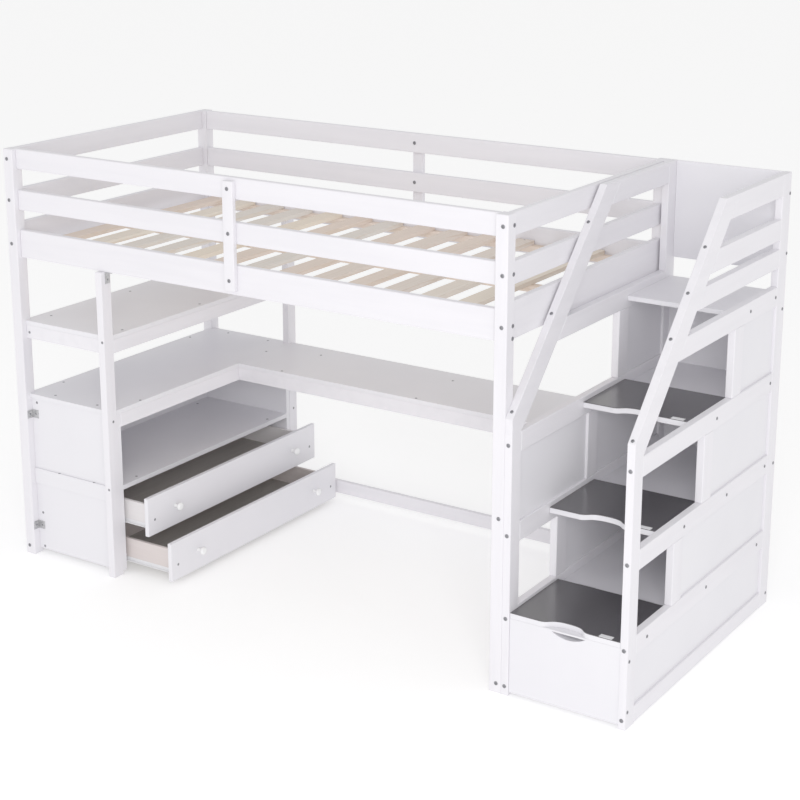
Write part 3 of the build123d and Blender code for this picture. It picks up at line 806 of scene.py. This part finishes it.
@dataclass
class DeskUnit(SubAssembly):
    """Inner posts, upper shelf, desk and cabinet."""

    shelf_columns: tuple[float, ...] = (0.073, 0.409)
    shelf_rows: tuple[float, ...] = (0.115, 0.530, 0.965)
    wing_columns: tuple[float, ...] = (0.626, 1.218, 1.810)
    wing_rows: tuple[float, ...] = (0.731, 0.977)
    desk_screws: tuple[tuple[float, float], ...] = (
        (0.047, 0.185),
        (0.134, 0.054),
        (0.333, 0.054),
        (0.421, 0.178),
    )
    bed_depth: float = 1.080
    cabinet_columns: tuple[float, ...] = (0.053, 0.405)
    cabinet_rows: tuple[float, ...] = (0.160, 0.920)
    post_x: float = 0.421
    post_screw_z: tuple[float, ...] = (0.330, 0.863)
    post_right: float = 0.430
    post_side_screws: tuple[tuple[float, float], ...] = ((0.028, 0.574), (1.058, 0.340))
    apron_columns: tuple[float, ...] = (0.056, 0.388)
    apron_y: float = 0.022
    apron_z: float = 0.838
    rail_columns: tuple[float, ...] = (0.160, 0.326)
    rail_y: float = 0.027
    rail_top: float = 0.330
    panel_y: float = 0.028
    panel_screws: tuple[tuple[float, float], ...] = (
        (0.066, 0.578),
        (0.066, 0.160),
        (0.066, 0.030),
    )
    angle_rows: tuple[float, ...] = (0.535, 0.112)
    post_leg: tuple[float, float] = (0.044, 0.015)
    panel_leg: tuple[float, float] = (0.060, 0.026)
    high_angle_y: float = 0.029
    high_post_leg: tuple[float, float] = (0.432, 1.080)
    high_rail_leg: tuple[float, float] = (0.448, 1.106)

    def build(self) -> None:
        """Dress the unit and add its screws."""
        self.dress(self.palette.upright, "inner_post_front", "inner_post_rear")
        self.dress(self.palette.along_x, "rear_stretcher")
        self.dress(self.palette.along_y, "upper_shelf_aprons", "desk_aprons")
        boards = ["upper_shelf_board", "desk_top_left", "desk_top_rear"]
        for part in ("front_panels", "side_panels", "back_panel", "shelf"):
            boards.append(f"cabinet_{part}")
        self.dress(self.palette.board, *boards)
        self.dress(self.palette.powder, "cabinet_runners")
        self.dress(self.palette.galvanised, "corner_brackets")
        self.screws("shelf_and_desk_screws", self.top_screws(), Body.FRAME)
        self.screws("cabinet_screws", self.front_screws(), Body.FRAME)
        self.screws("bracket_screws", self.bracket_screws(), Body.FRAME, small=True)

    def top_screws(self) -> list[Seat]:
        """Screws that hold the boards down on their aprons."""
        shelf_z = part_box("upper_shelf_board")[1].z
        desk_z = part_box("desk_top_left")[1].z
        cabinet_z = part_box("cabinet_shelf")[1].z
        seats = []
        for x in self.shelf_columns:
            seats += [Seat(self.at(x, y, shelf_z), UP) for y in self.shelf_rows]
        for x in self.wing_columns:
            seats += [Seat(self.at(x, y, desk_z), UP) for y in self.wing_rows]
        for x, y in self.desk_screws:
            seats.append(Seat(self.at(x, y, desk_z), UP))
            seats.append(Seat(self.at(x, self.bed_depth - y, desk_z), UP))
        for x in self.cabinet_columns:
            seats += [Seat(self.at(x, y, cabinet_z), UP) for y in self.cabinet_rows]
        return seats

    def front_screws(self) -> list[Seat]:
        """Screws in the front panels and their rail, the inner posts and the shelf apron."""
        seats = [Seat(self.at(x, self.panel_y, z), FRONT) for x, z in self.panel_screws]
        seats += [Seat(self.at(self.post_x, 0.0, z), FRONT) for z in self.post_screw_z]
        seats += [Seat(self.at(x, self.apron_y, self.apron_z), FRONT) for x in self.apron_columns]
        seats += [Seat(self.at(x, self.rail_y, self.rail_top), UP) for x in self.rail_columns]
        seats += [Seat(self.at(self.post_right, y, z), RIGHT) for y, z in self.post_side_screws]
        return seats

    def bracket_screws(self) -> list[Seat]:
        """Screws in the legs of the three angles."""
        seats = []
        for z in self.angle_rows:
            seats.append(Seat(self.at(*self.post_leg, z), RIGHT))
            seats.append(Seat(self.at(*self.panel_leg, z), FRONT))
        for (x, z), normal in ((self.high_post_leg, RIGHT), (self.high_rail_leg, DOWN)):
            seats.append(Seat(self.at(x, self.high_angle_y, z), normal))
        return seats


@dataclass
class Drawer(SubAssembly):
    """One drawer with its front, box, knobs and slides."""

    body: Body = Body.UPPER_DRAWER
    screw_in: float = 0.035
    screw_rise: float = 0.055

    def build(self) -> None:
        """Dress the drawer and add the two screws in its front."""
        name = self.body.value
        self.dress(self.palette.board, f"{name}_front")
        upper = self.body is Body.UPPER_DRAWER
        self.dress(self.palette.ply_upper if upper else self.palette.ply_lower, f"{name}_walls")
        # The bottom's darker ply holds painted shade for the inside of the drawer.
        self.dress(self.palette.ply_bottom_painted_shade, f"{name}_bottom")
        self.dress(self.palette.knob, f"{name}_knobs")
        self.dress(self.palette.powder, f"{name}_runners")
        low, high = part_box(f"{name}_front")
        z = low.z + self.screw_rise
        ends = (low.y + self.screw_in, high.y - self.screw_in)
        seats = [Seat(Vector((high.x, y, z)), RIGHT) for y in ends]
        self.screws(f"{name}_front_screws", seats, self.body)


@dataclass
class Staircase(SubAssembly):
    """Side frames, treads, bays, storage box and its lid."""

    tab_size: tuple[float, float, float] = (0.042, 0.018, 0.0012)
    tab_x: float = 2.322
    tab_inset: float = 0.0015
    tab_bevel: float = 0.3
    sheet: float = 0.002
    hinge_x: tuple[float, ...] = (2.110, 2.310)
    hinge_screws_x: tuple[float, ...] = (-0.020, 0.0, 0.020)
    fixed_leaf_in: float = 0.013
    lid_leaf_in: float = 0.014
    leaf_top: float = 0.2575
    leaf_under: float = 0.256

    def build(self) -> None:
        """Dress the staircase and add its small parts."""
        for side in ("inner", "outer"):
            self.dress(self.palette.upright, f"stair_{side}_stiles")
            self.dress(self.palette.along_y, f"stair_{side}_rails", f"stair_{side}_handrail")
            self.dress(self.palette.board, f"stair_{side}_panels")
        self.dress(self.palette.along_y, "stair_guard_rails")
        boards = ("rear_panels", "box_front", "box_panels", "floors")
        self.dress(self.palette.board, *[f"stair_{part}" for part in boards])
        self.dress(self.palette.board, "landing_board", "lid_board", "tread_middle", "tread_upper")
        self.dress(self.palette.tread, "tread_mats", "lid_mat")
        self.dress(self.palette.galvanised, "hinge_leaves_fixed", "hinge_leaves_lid")
        tabs = (("lid_board", Body.LID), ("tread_middle", Body.FRAME), ("tread_upper", Body.FRAME))
        for node, body in tabs:
            self.edge_tab(node, body)
        self.hinge_screws()

    def edge_tab(self, node: str, body: Body) -> None:
        """Small white tab at the front edge of one tread's sheet.

        Args:
            node: The tread's CAD node.
            body: The body it moves with.
        """
        low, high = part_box(node)
        width, depth, height = self.tab_size
        bm = bmesh.new()
        bmesh.ops.create_cube(bm, size=1.0)
        bmesh.ops.scale(bm, vec=self.tab_size, verts=bm.verts)
        bmesh.ops.bevel(
            bm,
            geom=bm.edges,
            offset=height * self.tab_bevel,
            segments=2,
            profile=0.5,
            affect="EDGES",
            material=-1,
        )
        x = self.corner.x + self.tab_x + width / 2
        y = low.y + self.tab_inset + depth / 2
        z = high.z + self.sheet + height / 2
        bmesh.ops.translate(bm, vec=(x, y, z), verts=bm.verts)
        self.add(f"{node}_edge_tab", bm, self.palette.powder, body, Slot.BOARD)

    def hinge_screws(self) -> None:
        """Three screws in each hinge leaf."""
        fixed, moving = [], []
        fixed_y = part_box("hinge_leaves_fixed")[1].y - self.fixed_leaf_in
        lid_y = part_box("hinge_leaves_lid")[0].y + self.lid_leaf_in
        for centre in self.hinge_x:
            for offset in self.hinge_screws_x:
                x = self.corner.x + centre + offset
                fixed.append(Seat(Vector((x, fixed_y, self.leaf_top)), UP))
                moving.append(Seat(Vector((x, lid_y, self.leaf_under)), DOWN))
        self.screws("hinge_screws_fixed", fixed, Body.FRAME, small=True)
        self.screws("hinge_screws_lid", moving, Body.LID, small=True)


@dataclass
class FrameBolts(SubAssembly):
    """Socket heads in place of the plain bolt heads of the frame."""

    node: str = "frame_bolts"
    small: float = 0.006
    turn: float = 0.5
    weld: float = 1e-6

    def build(self) -> None:
        """Read each plain head's seat and put a detailed one there."""
        seats: dict[bool, list[Seat]] = {True: [], False: []}
        timber = self.timber_tree()
        heads = bmesh.new()
        heads.from_mesh(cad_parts[self.node].data)
        bmesh.ops.remove_doubles(heads, verts=heads.verts, dist=self.weld)
        for index, island in enumerate(self.islands(heads)):
            seat, radius = self.seat_of(island, timber, index)
            seats[radius < self.small].append(seat)
        heads.free()
        large = self.fasten(
            "socket_bolts", SocketHead().template(), seats[False], Body.FRAME, Slot.BOLT
        )
        head = SocketHead(radius=0.0055, socket=0.0027)
        self.fasten("small_socket_bolts", head.template(), seats[True], Body.FRAME, Slot.BOLT)
        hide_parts(self.node)

    @staticmethod
    def islands(heads: bmesh.types.BMesh) -> list[list[bmesh.types.BMFace]]:
        """Split the plain heads, by place, so that each keeps its turn on every run.

        Args:
            heads: All the heads of the CAD node.

        Returns:
            The faces of each head.
        """
        todo, found = set(heads.faces), []
        while todo:
            stack, group = [todo.pop()], []
            while stack:
                face = stack.pop()
                group.append(face)
                for vert in face.verts:
                    linked = [f for f in vert.link_faces if f in todo]
                    todo.difference_update(linked)
                    stack.extend(linked)
            found.append(sorted(group, key=lambda f: place_key(f.calc_center_median())))
        return sorted(found, key=lambda g: place_key(g[0].calc_center_median()))

    def timber_tree(self) -> BVHTree:
        """A search tree of everything that a bolt may be seated on."""
        bm = bmesh.new()
        for name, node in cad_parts.items():
            if name.startswith(("post", "side", "guard", "baluster", "stair", "end")):
                bm.from_mesh(node.data)
        tree = BVHTree.FromBMesh(bm)
        bm.free()
        return tree

    def seat_of(
        self, island: list[bmesh.types.BMFace], timber: BVHTree, index: int
    ) -> tuple[Seat, float]:
        """Where one head sits.

        Args:
            island: The head's faces.
            timber: The search tree.
            index: Its number, which turns its socket.

        Returns:
            The seat, and the head's radius.
        """
        points = sorted((v.co for v in {v for f in island for v in f.verts}), key=place_key)
        centre = sum(points, Vector()) / len(points)
        cap = max(island, key=lambda f: self.cap_score(f, centre))
        normal = cap.normal.normalized()
        half = max((p - centre).dot(normal) for p in points)
        radius = max(((p - centre) - normal * (p - centre).dot(normal)).length for p in points)
        gaps = [timber.find_nearest(centre + normal * half * s)[3] for s in (1, -1)]
        outward = normal if gaps[0] > gaps[1] else -normal
        return Seat(centre - outward * half, outward, self.turn * index), radius

    @staticmethod
    def cap_score(face: bmesh.types.BMFace, centre: Vector) -> float:
        """High for a face of the flat cap, which faces straight along the head."""
        offset = face.calc_center_median() - centre
        across = offset - face.normal * offset.dot(face.normal)
        return face.calc_area() + across.length


# ------------------------------------------------------------------------ studio
@dataclass
class Studio:
    """Floor, light and camera."""

    camera_place: tuple[float, float, float] = (3.2138, -4.7676, 2.5258)
    azimuth: float = 33.432
    pitch: float = 15.429
    lens: float = 79.11
    shift: float = -0.1
    sky: float = 0.72
    gamma: float = 1.25
    key: tuple[float, float, float, float] = (-2.2, -5.5, 4.2, 18.0)
    fill: tuple[float, float, float, float] = (4.1, -6.1, 3.0, 185.0)
    floor_size: float = 60.0
    sensor: float = 36.0
    reach: float = 200.0
    lamp_size: float = 3.0
    target: tuple[float, float, float] = (0.0, 0.0, 0.6)

    def build(self) -> None:
        """Make everything that isn't part of the bed."""
        scene = bpy.context.scene
        scene.view_settings.view_transform = "Standard"
        scene.view_settings.gamma = self.gamma
        self.floor()
        self.world()
        self.soft_light("key", *self.key)
        self.soft_light("fill", *self.fill)
        camera = bpy.data.cameras.new("camera")
        camera.lens = self.lens
        camera.sensor_width = self.sensor
        camera.shift_y = self.shift
        camera.clip_end = self.reach
        holder = bpy.data.objects.new("camera", camera)
        scene.collection.objects.link(holder)
        holder.location = self.camera_place
        holder.rotation_euler = (math.radians(90.0 - self.pitch), 0.0, math.radians(self.azimuth))
        scene.camera = holder

    def floor(self) -> None:
        """A plain pale floor."""
        bm = bmesh.new()
        bmesh.ops.create_grid(bm, x_segments=1, y_segments=1, size=self.floor_size)
        mesh = bpy.data.meshes.new("floor")
        bm.to_mesh(mesh)
        bm.free()
        mesh.materials.append(PlainFloor().build())
        plane = bpy.data.objects.new("floor", mesh)
        bpy.context.scene.collection.objects.link(plane)

    def world(self) -> None:
        """Even white surroundings."""
        world = bpy.data.worlds.new("white_room")
        world.use_nodes = True
        inputs = world.node_tree.nodes["Background"].inputs
        inputs["Color"].default_value = (1.0, 1.0, 1.0, 1.0)
        inputs["Strength"].default_value = self.sky
        bpy.context.scene.world = world

    def soft_light(self, name: str, x: float, y: float, z: float, power: float) -> None:
        """A large square light that faces the bed.

        Args:
            name: The light's name.
            x: Its place to the right.
            y: Its place to the rear.
            z: Its height.
            power: Its power in watts.
        """
        lamp = bpy.data.lights.new(name, "AREA")
        lamp.size = self.lamp_size
        lamp.energy = power
        holder = bpy.data.objects.new(name, lamp)
        bpy.context.scene.collection.objects.link(holder)
        holder.location = (x, y, z)
        aim = Vector(self.target) - holder.location
        holder.rotation_euler = aim.to_track_quat("-Z", "Y").to_euler()


def main() -> None:
    """Build the sub-assemblies in order and log each one."""
    logging.basicConfig(level=logging.INFO, format="%(message)s")
    palette = Palette()
    parts = [
        Studio(),
        Bed(palette),
        DeskUnit(palette),
        Drawer(palette, Body.UPPER_DRAWER),
        Drawer(palette, Body.LOWER_DRAWER),
        Staircase(palette),
        FrameBolts(palette),
    ]
    for part in parts:
        part.build()
        LOG.info("built %s", type(part).__name__)


if __name__ == "__main__":
    main()
